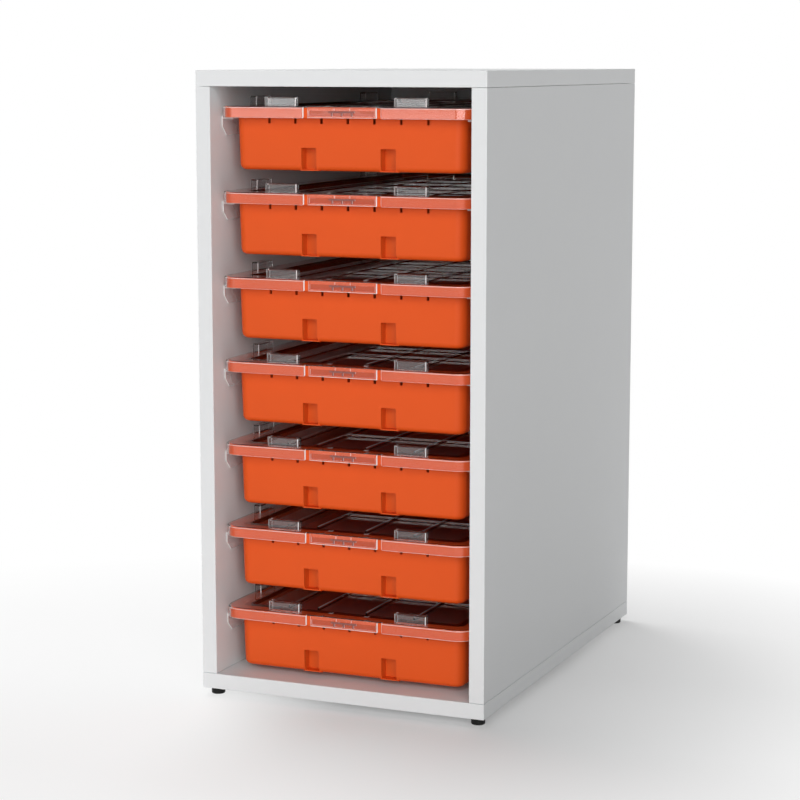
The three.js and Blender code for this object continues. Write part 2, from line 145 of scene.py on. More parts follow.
# Clip in the front skirt
CLIP_WIDTH = 84.0
CLIP_THICKNESS = 2.0
CLIP_TOP = -0.7
CLIP_BOTTOM = -12.6
CLIP_FRAME = 2.0  # beside and below the sunk panel
CLIP_BAND = 4.5  # from the top of the lid to the sunk panel
CLIP_SINK = 0.9
CLIP_SINK_EDGE = 0.3
CLIP_GROOVE_X = 9.4  # two fine grooves in the back of the band, from the middle
CLIP_GROOVE = 0.4
SHELF_WIDTH = 32.0
SHELF_THICKNESS = 2.0
SHELF_Z = -5.0
SHELF_EDGE = 0.1
SHELF_SETBACK = 0.05  # from the front of the clip to the front of the shelf
SHELF_ROOT = 1.08  # from the front of the clip to the end of the shelf within the panel
GUSSET_WIDTH = 1.8
GUSSET_SPACING = 12.0
GUSSET_SETBACK = 0.1
GUSSET_ROOT = 0.2  # how far a gusset reaches into the frame below it

# Tray
RIM_GAP = 0.4
RIM_WALL = 2.2
RIM_EDGE = 1.0
RIM_TOP_GAP = 0.2
RIM_FOOT = 0.5  # rounding of the rim's foot
TRAY_WIDTH = 281.0
FRONT_OVERHANG = 16.5
TRAY_BOTTOM = -72.2
TRAY_DRAFT = 1.7
TRAY_CORNER = 12.0
TRAY_FILLET = 6.5
TRAY_WALL = 2.2
TRAY_EDGE = 1.0
SLOT_COUNT = 7
SLOT_PITCH = 32.3
SLOT_WIDTH = 3.2
SLOT_BOTTOM = -19.6
SLOT_TOP = -8.0
SLOT_EDGE = 0.4
POCKET_X = 48.6
POCKET_WIDTH = 18.4
POCKET_TOP = -46.5
POCKET_DEPTH = 15.0
POCKET_FLARE = 0.25
CASING_EDGE = 0.8  # on the walls round a pocket, inside the tray
LIP_WIDTH = 24.5
LIP_THICKNESS = 1.2
LIP_SETBACK = 4.0
LIP_STEP = 0.55  # how far the top of the lip reaches past each side of the pocket

# Runners
RUNNER_TOP = -11.8
RUNNER_BOTTOM = -33.8
RUNNER_FRONT = 17.5
RUNNER_LENGTH = 487.0
RUNNER_PLATE = 1.2
RUNNER_CHAMFER = 10.3
RUNNER_EDGE = 0.3
LEDGE_WIDTH = 14.7
LEDGE_THICKNESS = 2.2
PEG_RADIUS = 2.4
PEG_LENGTH = 8.0
PEG_Y = 190.0
PEG_Z = (RUNNER_TOP + RUNNER_BOTTOM) / 2 - LEDGE_THICKNESS

# Steps in a curve
CORNER_STEPS = 8
LUG_CORNER_STEPS = 4
ROUND_STEPS = 32
GLIDE_STEPS = 48
BEVEL_STEPS = 2
BOARD_STEPS = 3
ARC_STEPS = 4
WIDE_ARC_STEPS = 8
BASIN_ARC_STEPS = 6
SMALL_ARC_STEPS = 3
FINE_ARC_STEPS = 2

# Least share of a face's normal along an axis
SQUARE = 0.9  # for a face that looks along it
SLANTED = 0.7  # for a face at half a right angle to it
TURNED = 0.6  # for a face that is turned towards it
TILTED = 0.3  # for a face that is tilted towards it
FLUSH = 0.97  # for the flat sides of a lug, and not its corners
UPPER_STRIP = (0.05, 0.15)  # and its range upwards on the first strip of the lid's rounded edge


def span(node):
    """Lowest and highest corner of a solid of the frame, in millimetres."""
    low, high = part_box(node)
    return low / MM, high / MM


def level_place(number):
    """The origin of a level's own frame."""
    low, high = span(f"lid_{number}")
    middle = (low + high) / 2
    return Vector((middle.x, middle.y, high.z - LUG_HEIGHT))


# Sizes that follow from the frame
lid_low, lid_high = span("lid_1")
LID_WIDTH = lid_high.x - lid_low.x
LID_LENGTH = lid_high.y - lid_low.y
LID_FRONT = -LID_LENGTH / 2
PANEL_WIDTH = LID_WIDTH - 2 * PANEL_INSET
PANEL_LENGTH = LID_LENGTH - 2 * PANEL_INSET
RIM_WIDTH = LID_WIDTH - 2 * (LID_WALL + RIM_GAP)
RIM_LENGTH = LID_LENGTH - 2 * (LID_WALL + RIM_GAP)
RIM_CORNER = LID_CORNER - LID_WALL - RIM_GAP
RIM_TOP = -PLATE_THICKNESS - RIM_TOP_GAP
TRAY_LENGTH = LID_LENGTH - 2 * FRONT_OVERHANG
FRONT_WALL = -TRAY_LENGTH / 2
LEVEL_Y = level_place(1).y
INSIDE_HALF = span("right_side_panel")[0].x
UNIT_MIDDLE = (cad_box[0] + cad_box[1]) / 2 / MM


# Mesh making

def to_mesh(bm):
    mesh = bpy.data.meshes.new("shape")
    bmesh.ops.recalc_face_normals(bm, faces=bm.faces)
    bm.to_mesh(mesh)
    bm.free()
    return mesh


def fillet(inset, height, radius, start, end, steps=ARC_STEPS):
    """Points (inset, height) of an arc in a wall's section: 0 degrees points inwards and 90 up."""
    turns = [math.radians(start + (end - start) * i / steps) for i in range(steps + 1)]
    return [(inset + radius * math.cos(turn), height + radius * math.sin(turn)) for turn in turns]


def outline(width, length, radius, height, steps=CORNER_STEPS):
    """A rounded rectangle round the origin at one height, anticlockwise from above."""
    points = []
    for quarter, (sx, sy) in enumerate(((1, 1), (-1, 1), (-1, -1), (1, -1))):
        for step in range(steps + 1):
            turn = (quarter + step / steps) * math.pi / 2
            x = sx * (width / 2 - radius) + radius * math.cos(turn)
            y = sy * (length / 2 - radius) + radius * math.sin(turn)
            points.append((x, y, height))
    return points


def circle(radius, height, steps=ROUND_STEPS):
    turns = [2 * math.pi * i / steps for i in range(steps)]
    return [(radius * math.cos(turn), radius * math.sin(turn), height) for turn in turns]


def skin(rings):
    """A closed mesh through rings of equal count, capped at both ends."""
    bm = bmesh.new()
    rows = [[bm.verts.new(point) for point in ring] for ring in rings]
    count = len(rows[0])
    for low, high in zip(rows, rows[1:]):
        for i in range(count):
            j = (i + 1) % count
            bm.faces.new((low[i], low[j], high[j], high[i]))
    bm.faces.new(rows[0])
    bm.faces.new(rows[-1])
    return to_mesh(bm)


def bevel(bm, edges, size, steps):
    bmesh.ops.bevel(bm, geom=edges, offset=size, segments=steps, profile=0.5, affect="EDGES")


def slab(low, high, edge=0.0, steps=BEVEL_STEPS):
    """A box between two corners, with its edges rounded."""
    bm = bmesh.new()
    bmesh.ops.create_cube(bm, size=1)
    for vert in bm.verts:
        vert.co = Vector(a + (c + 0.5) * (b - a) for a, b, c in zip(low, high, vert.co))
    if edge:
        bevel(bm, bm.edges[:], edge, steps)
    return to_mesh(bm)


def across_x(section, x0, x1):
    """A bar along X of a closed section of (y, z) points."""
    return skin([[(x, y, z) for y, z in section] for x in (x0, x1)])


def along_y(section, y0, y1):
    """A bar along Y of a closed section of (x, z) points."""
    return skin([[(x, y, z) for x, z in section] for y in (y0, y1)])


def moved(mesh, x=0.0, y=0.0, z=0.0):
    mesh.transform(Matrix.Translation((x, y, z)))
    return mesh


def together(meshes):
    """Several meshes as one, each still apart from the others."""
    bm = bmesh.new()
    for mesh in meshes:
        bm.from_mesh(mesh)
    return to_mesh(bm)


def evaluated(mesh, modifier, **settings):
    """The mesh with one modifier applied."""
    holder = bpy.data.objects.new("holder", mesh)
    bpy.context.scene.collection.objects.link(holder)
    step = holder.modifiers.new("step", modifier)
    for name, value in settings.items():
        setattr(step, name, value)
    bpy.context.view_layer.update()
    graph = bpy.context.evaluated_depsgraph_get()
    result = bpy.data.meshes.new_from_object(
        holder.evaluated_get(graph), preserve_all_data_layers=True, depsgraph=graph
    )
    bpy.data.objects.remove(holder)
    return result


def boolean(mesh, operation, *tools):
    """The mesh joined with the tools, or cut by them, all at once; the tools stay clear of each other."""
    tool = bpy.data.objects.new("tool", together(tools))
    bpy.context.scene.collection.objects.link(tool)
    result = evaluated(mesh, "BOOLEAN", operation=operation, object=tool, solver="EXACT")
    bpy.data.objects.remove(tool)
    return result


BEVEL_ANGLE = 40.0


def rounded(mesh, edge):
    """The mesh with the edges that turn by more than the bevel angle rounded."""
    bm = bmesh.new()
    bm.from_mesh(mesh)
    least = math.radians(BEVEL_ANGLE)
    sharp = [e for e in bm.edges if len(e.link_faces) == 2 and e.calc_face_angle(0) > least]
    bevel(bm, sharp, edge, BEVEL_STEPS)
    return to_mesh(bm)


SHARP_ANGLE = 35.0
LARGE_FACES = 100  # weight of large faces in the shading of the edges between them and small ones


def finished(mesh, name, *materials):
    """The mesh in metres, smooth but for its sharp edges, with its materials."""
    mesh.transform(Matrix.Scale(MM, 4))
    mesh.polygons.foreach_set("use_smooth", [True] * len(mesh.polygons))
    mesh.set_sharp_from_angle(angle=math.radians(SHARP_ANGLE))
    result = evaluated(mesh, "WEIGHTED_NORMAL", keep_sharp=True, weight=LARGE_FACES)
    result.name = name
    result.materials.clear()
    for material in materials:
        result.materials.append(material)
    return result


def choose_materials(mesh, choice):
    """Gives each face the one of the mesh's materials that suits its middle in millimetres and its normal."""
    for face in mesh.polygons:
        face.material_index = mesh.materials.find(choice(face.center / MM, face.normal).name)


def show(piece, mesh, body, node, place=(0, 0, 0)):
    """Shows a finished mesh in the place of a solid of the frame."""
    made = bpy.data.objects.new(piece, mesh)
    made.location = Vector(place) * MM
    bpy.context.scene.collection.objects.link(made)
    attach(made, body)
    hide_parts(node)


# Materials

# Sockets of a mix of numbers and of a mix of colours: the first, the second and the result
NUMBER_MIX = (2, 3, 0)
COLOUR_MIX = (6, 7, 2)
NOISE_LOW, NOISE_HIGH = 0.3, 0.7  # between which most of a noise lies


class Wiring:
    """Short forms for the nodes of a material or of the world."""

    def __init__(self, tree):
        self.tree = tree

    def feed(self, socket, value):
        if isinstance(value, bpy.types.NodeSocket):
            self.tree.links.new(value, socket)
        else:
            socket.default_value = value

    def add(self, kind, **inputs):
        node = self.tree.nodes.new(kind)
        for name, value in inputs.items():
            self.feed(node.inputs[name.replace("_", " ")], value)
        return node

    def path(self, kind):
        """1 for one kind of ray and 0 for the others."""
        return self.add("ShaderNodeLightPath").outputs[kind]

    def operate(self, kind, operation, first, second):
        node = self.add(kind)
        node.operation = operation
        self.feed(node.inputs[0], first)
        self.feed(node.inputs[1], second)
        return node.outputs

    def math(self, operation, first, second):
        return self.operate("ShaderNodeMath", operation, first, second)[0]

    def vector(self, operation, first, second=(0, 0, 0)):
        outputs = self.operate("ShaderNodeVectorMath", operation, first, second)
        return outputs["Value" if operation == "LENGTH" else "Vector"]

    def mixed(self, data_type, sockets, share, first, second):
        first_socket, second_socket, result = sockets
        node = self.add("ShaderNodeMix")
        node.data_type = data_type
        self.feed(node.inputs[0], share)
        self.feed(node.inputs[first_socket], first)
        self.feed(node.inputs[second_socket], second)
        return node.outputs[result]

    def mix(self, share, first, second):
        """A number that goes from first to second with a share."""
        return self.mixed("FLOAT", NUMBER_MIX, share, first, second)

    def blend(self, share, first, second):
        """A colour that goes from first to second with a share."""
        return self.mixed("RGBA", COLOUR_MIX, share, (*first, 1), (*second, 1))

    def ease(self, value, low, high):
        """0 below low, 1 above high and smooth between them."""
        node = self.add("ShaderNodeMapRange", Value=value, From_Min=low, From_Max=high)
        node.interpolation_type = "SMOOTHSTEP"
        return node.outputs[0]

    def show_mix(self, share, first, second):
        """Shows a mix of two shaders that goes from first to second with a share."""
        mix = self.add("ShaderNodeMixShader")
        for socket, value in zip(mix.inputs, (share, first, second)):
            self.feed(socket, value)
        self.feed(self.tree.nodes["Material Output"].inputs["Surface"], mix.outputs[0])


class Surface(Wiring):
    """A material with one Principled shader and the nodes that feed it."""

    def __init__(self, name):
        self.material = bpy.data.materials.new(name)
        self.material.use_nodes = True
        super().__init__(self.material.node_tree)
        self.shader = self.tree.nodes["Principled BSDF"]
        self.place = self.add("ShaderNodeTexCoord").outputs["Object"]

    def set(self, **inputs):
        for name, value in inputs.items():
            self.feed(self.shader.inputs[name.replace("_", " ")], value)

    def noise(self, size, detail=3.0, place=None):
        """Noise from 0 to 1 whose patches are about size millimetres wide."""
        scale = 1 / (size * MM)
        node = self.add("ShaderNodeTexNoise", Vector=place or self.place, Scale=scale, Detail=detail)
        return node.outputs[0]

    def between(self, factor, low, high):
        """A number that goes from low to high with the middle of a noise."""
        limits = {"From_Min": NOISE_LOW, "From_Max": NOISE_HIGH, "To_Min": low, "To_Max": high}
        return self.add("ShaderNodeMapRange", Value=factor, **limits).outputs[0]

    def vary(self, factor, colour, low, high):
        """A colour that goes from its low share to its high share with a noise."""
        return self.blend(factor, [c * low for c in colour], [c * high for c in colour])

    def bump(self, height, depth):
        """Small relief of a depth in millimetres."""
        node = self.add("ShaderNodeBump", Height=height, Distance=depth * MM)
        self.set(Normal=node.outputs[0])


BOARD_WHITE = (0.765, 0.775, 0.78)
# Painted light: the boards' inner faces get a cooler copy of the board white, to cancel the orange light that
# the trays bounce on to them.
INNER_PAINTED_COOL_WHITE = (0.77, 0.825, 0.835)
BAND_WHITE = (0.775, 0.785, 0.79)
ORANGE = (0.758, 0.091, 0.008)
# Painted shade: a duller, darker copy of the tray orange on the walls of the pockets, in place of how light
# falls inside them.
POCKET_SHADE_ORANGE = (0.72, 0.107, 0.0125)
BLACK = (0.007, 0.007, 0.007)
CLEAR_TINT = (0.99, 0.988, 0.988)
# Painted shade: a dark tint of the clear plastic on the walls round the lid's sunk panel.
WALL_SHADE_TINT = (0.3, 0.24, 0.24)
# Painted shade: a darker tint of the clear plastic on the clip's sunk panel.
SUNK_SHADE_TINT = (0.58, 0.47, 0.46)
# Painted highlights: opaque white and grey on the edges, ribs and marks of the clear plastic, where light
# gathers in them.
HIGHLIGHT_WHITE = (0.96, 0.955, 0.95)
HIGHLIGHT_GREY = (0.6, 0.53, 0.52)
# Painted shade: an opaque dark rose on the clip's shelf, standing in for the shaded orange seen through it.
SHELF_SHADE_ROSE = (0.26, 0.08, 0.065)
BEECH_LIGHT = (0.62, 0.41, 0.22)
BEECH_DARK = (0.46, 0.27, 0.13)
BEECH_STRETCH = (1.0, 1.0, 0.08)  # which draws the grain out along the dowel
PLASTIC_IOR = 1.45
PASSED_LIGHT = (0.96, 0.955, 0.955)  # what clear plastic lets on to what lies behind it


def faced_board(name, colour):
    surface = Surface(name)
    cloud = surface.noise(size=60.0)
    pearl = surface.noise(size=0.9, detail=2.0)
    surface.set(
        Base_Color=surface.vary(cloud, colour, low=0.993, high=1.007),
        Roughness=surface.between(pearl, low=0.5, high=0.6),
        Specular_IOR_Level=0.2,
    )
    surface.bump(pearl, depth=0.02)
    return surface.material


def edge_band():
    surface = Surface("white_edge_band")
    streak = surface.noise(size=14.0)
    surface.set(
        Base_Color=surface.vary(streak, BAND_WHITE, low=0.99, high=1.01),
        Roughness=surface.between(streak, low=0.45, high=0.55),
        Specular_IOR_Level=0.2,
    )
    surface.bump(surface.noise(size=2.5), depth=0.015)
    return surface.material


def orange_plastic(name, colour):
    surface = Surface(name)
    flow = surface.noise(size=45.0)
    grain = surface.noise(size=0.7, detail=2.0)
    surface.set(
        Base_Color=surface.vary(flow, colour, low=0.97, high=1.03),
        Roughness=surface.between(grain, low=0.46, high=0.56),
        Specular_IOR_Level=0.25,
    )
    surface.bump(grain, depth=0.02)
    return surface.material


def clear_plastic(name, clearness, ripple, tint=CLEAR_TINT):
    """Clear moulded plastic that lets lamp light and soft light on to what lies behind it."""
    surface = Surface(name)
    flow = surface.noise(size=30.0, detail=1.0)
    surface.set(
        Base_Color=surface.vary(flow, tint, low=0.985, high=1.0),
        Roughness=surface.between(surface.noise(size=9.0), low=0.0, high=0.015),
        Transmission_Weight=clearness,
        IOR=PLASTIC_IOR,
    )
    surface.bump(flow, depth=ripple)
    passed = surface.math("MAXIMUM", surface.path("Is Shadow Ray"), surface.path("Is Diffuse Ray"))
    open_way = surface.add("ShaderNodeBsdfTransparent", Color=(*PASSED_LIGHT, 1))
    surface.show_mix(passed, surface.shader.outputs[0], open_way.outputs[0])
    return surface.material


def painted_light_plastic(name, colour):
    """Opaque colour on the narrow edges and thick parts of the clear mouldings: painted highlights where
    light gathers in clear plastic, and painted shade on the clip's shelf.
    """
    surface = Surface(name)
    grain = surface.noise(size=1.5)
    surface.set(
        Base_Color=surface.vary(grain, colour, low=0.96, high=1.0),
        Roughness=surface.between(grain, low=0.3, high=0.42),
    )
    surface.bump(grain, depth=0.01)
    return surface.material


def black_plastic():
    surface = Surface("black_glide_plastic")
    grain = surface.noise(size=0.8)
    surface.set(
        Base_Color=surface.vary(grain, BLACK, low=0.8, high=1.3),
        Roughness=surface.between(grain, low=0.45, high=0.6),
        Specular_IOR_Level=0.2,
    )
    surface.bump(grain, depth=0.03)
    return surface.material


def beech_wood():
    surface = Surface("beech_dowel")
    stretch = surface.add("ShaderNodeMapping", Vector=surface.place, Scale=BEECH_STRETCH)
    grain = surface.noise(size=1.2, detail=4.0, place=stretch.outputs[0])
    surface.set(
        Base_Color=surface.blend(grain, BEECH_DARK, BEECH_LIGHT),
        Roughness=surface.between(grain, low=0.55, high=0.75),
    )
    surface.bump(grain, depth=0.05)
    return surface.material


BOARD = faced_board("white_faced_board", BOARD_WHITE)
INNER_PAINTED_COOL = faced_board("white_inner_face_painted_cool", INNER_PAINTED_COOL_WHITE)
BAND = edge_band()
ORANGE_PLASTIC = orange_plastic("orange_moulded_plastic", ORANGE)
POCKET_SHADE_PLASTIC = orange_plastic("orange_pocket_painted_shade", POCKET_SHADE_ORANGE)
CLEAR_LID = clear_plastic("clear_lid_plastic", clearness=1.0, ripple=0.001)
CLEAR_PANEL = clear_plastic("clear_panel_plastic", clearness=0.96, ripple=0.001)
CLEAR_WALL_SHADE = clear_plastic("clear_wall_painted_shade", clearness=1.0, ripple=0.001, tint=WALL_SHADE_TINT)
CLEAR_SUNK_SHADE = clear_plastic("clear_sunk_painted_shade", clearness=1.0, ripple=0.001, tint=SUNK_SHADE_TINT)
CLEAR_RUNNER = clear_plastic("clear_runner_plastic", clearness=0.75, ripple=0.005)
EDGE_PAINTED_HIGHLIGHT = painted_light_plastic("edge_painted_highlight", HIGHLIGHT_WHITE)
GREY_PAINTED_HIGHLIGHT = painted_light_plastic("grey_painted_highlight", HIGHLIGHT_GREY)
SHELF_PAINTED_SHADE = painted_light_plastic("shelf_painted_shade", SHELF_SHADE_ROSE)
BLACK_PLASTIC = black_plastic()
BEECH = beech_wood()


# Carcass

def peg_hole(side_sign, y, z):
    """A round hole for a runner's peg in the inner face of a side board."""
    hole = skin([circle(PEG_RADIUS + SEAM, at) for at in (-OVER, PEG_LENGTH + SEAM)])
    hole.transform(Matrix.Rotation(side_sign * math.pi / 2, 4, "Y"))
    return moved(hole, side_sign * INSIDE_HALF, y, z)


def dowel_holes(board_low, board_high):
    """Round holes for the dowels that reach into a board."""
    holes = []
    for node in frame["nodes"]:
        if not node.startswith("dowel"):
            continue
        low, high = span(node)
        inside = all(low[i] < board_high[i] and high[i] > board_low[i] for i in AXES)
        if inside:
            middle = (low + high) / 2
            radius = (high.x - low.x) / 2 + SEAM
            hole = skin([circle(radius, z) for z in (low.z - SEAM, high.z + SEAM)])
            holes.append(moved(hole, middle.x, middle.y))
    return holes


def back_groove():
    """The space that the back panel and its play take up in the boards round it."""
    low, high = span("back_panel")
    play = Vector((SEAM, SEAM, SEAM))
    return slab(low - play, high + play)


def feet():
    """The corner that each glide stands at, and the lowest and highest corner of its solid."""
    for end, _ in ENDS:
        for side, _ in SIDES:
            yield f"{end}_{side}", *span(f"foot_{end}_{side}")


def foot_sockets():
    """Round holes in the bottom board for the stems of the glides."""
    sockets = []
    for _, low, high in feet():
        middle = (low + high) / 2
        socket = skin([circle(STEM_RADIUS + SEAM, z) for z in (0.0, high.z + SEAM)])
        sockets.append(moved(socket, middle.x, middle.y))
    return sockets


def band_edges(mesh, thin_axis, middle):
    """Gives the narrow edges of a board their edge band, and its inner face a cooler white, painted to cancel
    the orange light that the trays bounce on to it.
    """
    outward = middle[thin_axis] - UNIT_MIDDLE[thin_axis]

    def board_face(_, normal):
        along = normal[thin_axis]
        if abs(along) < SQUARE:
            return BAND
        return INNER_PAINTED_COOL if along * outward < 0 else BOARD

    choose_materials(mesh, board_face)


def board(node, thin_axis, *cuts):
    """A board with the groove and the holes of what is fixed in it."""
    low, high = span(node)
    mesh = slab(low, high, BOARD_EDGE, BOARD_STEPS)
    mesh = boolean(mesh, "DIFFERENCE", back_groove())
    for group in (dowel_holes(low, high), cuts):
        if group:
            mesh = boolean(mesh, "DIFFERENCE", *group)
    mesh = finished(mesh, node, BOARD, BAND, INNER_PAINTED_COOL)
    band_edges(mesh, thin_axis, (low + high) / 2)
    show(f"faced_{node}", mesh, "carcass", node)


def back():
    low, high = span("back_panel")
    mesh = finished(slab(low, high, BACK_EDGE), "back_panel", BOARD, BAND, INNER_PAINTED_COOL)
    band_edges(mesh, Y, (low + high) / 2)
    show("faced_back_panel", mesh, "carcass", "back_panel")


def carcass():
    board("top_panel", Z)
    board("bottom_panel", Z, *foot_sockets())
    for side, sign in SIDES:
        holes = [peg_hole(sign, y, level_place(n).z + PEG_Z) for n in LEVELS for y in (-PEG_Y, PEG_Y)]
        board(f"{side}_side_panel", X, *holes)
    back()
    for name, node in frame["nodes"].items():
        if name.startswith("dowel"):
            node.data.materials.clear()
            node.data.materials.append(BEECH)


def glides():
    """Four round pads, each with a stem."""
    low, high = span("foot_front_left")
    radius = (high.x - low.x) / 2
    neck = span("bottom_panel")[0].z - SEAM
    pad = fillet(FOOT_EDGE, FOOT_EDGE, FOOT_EDGE, 270, 180)
    pad += fillet(FOOT_TOP_EDGE, neck - FOOT_TOP_EDGE, FOOT_TOP_EDGE, 180, 90, FINE_ARC_STEPS)
    section = [(radius - inset, z) for inset, z in pad]
    section += [(STEM_RADIUS, neck), (STEM_RADIUS, high.z - FOOT_TOP_EDGE)]
    section.append((STEM_RADIUS - FOOT_TOP_EDGE, high.z))
    rings = [circle(r, z, GLIDE_STEPS) for r, z in section]
    mesh = finished(skin(rings), "glide", BLACK_PLASTIC)
    for corner, low, high in feet():
        place = ((low.x + high.x) / 2, (low.y + high.y) / 2, 0)
        show(f"glide_{corner}", mesh, "carcass", f"foot_{corner}", place)


# Trays

def tray_shell():
    """The walls, bottom and turned-down rim of a tray."""

    def wall(inset, z):
        lean = TRAY_DRAFT * (RIM_TOP - z) / (RIM_TOP - TRAY_BOTTOM)
        less = 2 * (inset + lean)
        return outline(TRAY_WIDTH - less, TRAY_LENGTH - less, TRAY_CORNER - inset, z)

    def rim(inset, z):
        return outline(RIM_WIDTH - 2 * inset, RIM_LENGTH - 2 * inset, RIM_CORNER - inset, z)

    floor = TRAY_BOTTOM + TRAY_WALL
    inner = TRAY_FILLET - TRAY_WALL
    under = RIM_TOP - RIM_WALL
    foot = RIM_FOOT - SKIRT_HEIGHT
    inside = fillet(TRAY_WALL + inner, floor + inner, inner, 270, 180, BASIN_ARC_STEPS)
    inside += fillet(TRAY_WALL - TRAY_EDGE, RIM_TOP - TRAY_EDGE, TRAY_EDGE, 0, 90)
    turned = fillet(RIM_EDGE, RIM_TOP - RIM_EDGE, RIM_EDGE, 90, 180)
    turned += fillet(RIM_FOOT, foot, RIM_FOOT, 180, 270, FINE_ARC_STEPS)
    turned += fillet(RIM_WALL - RIM_FOOT, foot, RIM_FOOT, 270, 360, FINE_ARC_STEPS)
    turned += fillet(RIM_WALL + RIM_FOOT, under - RIM_FOOT, RIM_FOOT, 180, 90, FINE_ARC_STEPS)
    outside = fillet(-TRAY_EDGE, under - TRAY_EDGE, TRAY_EDGE, 90, 0, SMALL_ARC_STEPS)
    outside += fillet(TRAY_FILLET, TRAY_BOTTOM + TRAY_FILLET, TRAY_FILLET, 180, 270, WIDE_ARC_STEPS)
    rings = [wall(*point) for point in inside]
    rings += [rim(*point) for point in turned]
    rings += [wall(*point) for point in outside]
    return skin(rings)


def pocket_casing(x):
    """The walls round a pocket, inside the tray."""
    half = POCKET_WIDTH / 2 + TRAY_WALL
    low = (x - half, FRONT_WALL + TRAY_FILLET / 2, TRAY_BOTTOM + TRAY_WALL / 2)
    high = (x + half, FRONT_WALL + POCKET_DEPTH + TRAY_WALL, POCKET_TOP + TRAY_WALL)
    return slab(low, high, CASING_EDGE)


def pocket_hollow(x):
    """A pocket whose mouth flares a little where it breaks the front wall."""
    floor = TRAY_BOTTOM + LIP_THICKNESS

    def ring(y, grow):
        half = POCKET_WIDTH / 2 + grow
        top = POCKET_TOP + grow
        return [(x - half, y, floor), (x + half, y, floor), (x + half, y, top), (x - half, y, top)]

    mouth = FRONT_WALL + POCKET_FLARE
    back = FRONT_WALL + POCKET_DEPTH
    return skin([
        ring(FRONT_WALL - OVER, POCKET_FLARE),
        ring(mouth, POCKET_FLARE),
        ring(mouth + 2 * POCKET_FLARE, 0),
        ring(back, 0),
    ])


def pocket_lip(x):
    """The thin floor of a pocket, which flares out along the foot of the front wall."""
    wide = LIP_WIDTH / 2
    narrow = POCKET_WIDTH / 2 + LIP_STEP
    top = TRAY_BOTTOM + LIP_THICKNESS
    section = [(x - wide, TRAY_BOTTOM), (x + wide, TRAY_BOTTOM), (x + narrow, top), (x - narrow, top)]
    return along_y(section, FRONT_WALL + LIP_SETBACK, FRONT_WALL + POCKET_DEPTH)


def front_slot(x):
    half = SLOT_WIDTH / 2
    low = (x - half, FRONT_WALL - OVER, SLOT_BOTTOM)
    return slab(low, (x + half, FRONT_WALL + 2 * TRAY_WALL, SLOT_TOP), SLOT_EDGE)


def tray_face(middle, _):
    """The material of a face of a tray, with a painted shade of the orange on the walls of the pockets."""
    across = abs(abs(middle.x) - POCKET_X) < POCKET_WIDTH / 2 + POCKET_FLARE
    deep = 2 * POCKET_FLARE < middle.y - FRONT_WALL < POCKET_DEPTH + POCKET_FLARE
    upright = TRAY_BOTTOM + LIP_THICKNESS < middle.z < POCKET_TOP + POCKET_FLARE
    return POCKET_SHADE_PLASTIC if across and deep and upright else ORANGE_PLASTIC


def tray():
    pockets = (-POCKET_X, POCKET_X)
    slots = [(i - (SLOT_COUNT - 1) / 2) * SLOT_PITCH for i in range(SLOT_COUNT)]
    mesh = boolean(tray_shell(), "UNION", *[pocket_casing(x) for x in pockets])
    hollows = [pocket_hollow(x) for x in pockets] + [front_slot(x) for x in slots]
    mesh = boolean(mesh, "DIFFERENCE", *hollows)
    mesh = boolean(mesh, "UNION", *[pocket_lip(x) for x in pockets])
    mesh = finished(mesh, "tray", ORANGE_PLASTIC, POCKET_SHADE_PLASTIC)
    choose_materials(mesh, tray_face)
    return mesh


# Lids

def lid_shell():
    """The skirt and plate of a lid, with the sunk panel in the middle of the plate."""

    def edge(inset, z):
        return outline(LID_WIDTH - 2 * inset, LID_LENGTH - 2 * inset, LID_CORNER - inset, z)

    def panel(inset, z):
        return outline(PANEL_WIDTH - 2 * inset, PANEL_LENGTH - 2 * inset, PANEL_CORNER - inset, z)

    foot = SKIRT_EDGE - SKIRT_HEIGHT
    under = -PANEL_SINK - LID_WALL
    below = fillet(PANEL_EDGE - LID_WALL, under + PANEL_EDGE, PANEL_EDGE, 270, 180, SMALL_ARC_STEPS)
    inner = -PLATE_THICKNESS - LID_FILLET
    below += fillet(-LID_WALL - LID_FILLET, inner, LID_FILLET, 0, 90, SMALL_ARC_STEPS)
    skirt = fillet(LID_WALL + LID_FILLET, inner, LID_FILLET, 90, 180, SMALL_ARC_STEPS)
    skirt += fillet(LID_WALL - SKIRT_EDGE, foot, SKIRT_EDGE, 0, -90, SMALL_ARC_STEPS)
    skirt += fillet(SKIRT_EDGE, foot, SKIRT_EDGE, 270, 180, SMALL_ARC_STEPS)
    skirt += fillet(LID_EDGE, -LID_EDGE, LID_EDGE, 180, 90, WIDE_ARC_STEPS)
    above = fillet(-PANEL_EDGE, -PANEL_EDGE, PANEL_EDGE, 90, 0, SMALL_ARC_STEPS)
    above += fillet(LID_FILLET, LID_FILLET - PANEL_SINK, LID_FILLET, 180, 270, SMALL_ARC_STEPS)
    rings = [panel(*point) for point in below]
    rings += [edge(*point) for point in skirt]
    rings += [panel(*point) for point in above]
    return skin(rings)


def clip_cutout():
    """The gap for the clip in the front skirt, with rounded lower corners and bevelled upright edges."""
    foot = -SKIRT_HEIGHT

    def ring(y, half):
        right = [(half, OVER)]
        right += fillet(half + CUTOUT_CORNER, foot + CUTOUT_CORNER, CUTOUT_CORNER, 180, 270)
        right.append((half + CUTOUT_CORNER, foot - OVER))
        return [(x, y, z) for x, z in right] + [(-x, y, z) for x, z in reversed(right)]

    half = CUTOUT_WIDTH / 2
    return skin([
        ring(LID_FRONT - OVER, half + CUT_CHAMFER + OVER),
        ring(LID_FRONT + CUT_CHAMFER, half),
        ring(LID_FRONT + LID_WALL + RIM_GAP, half),
    ])


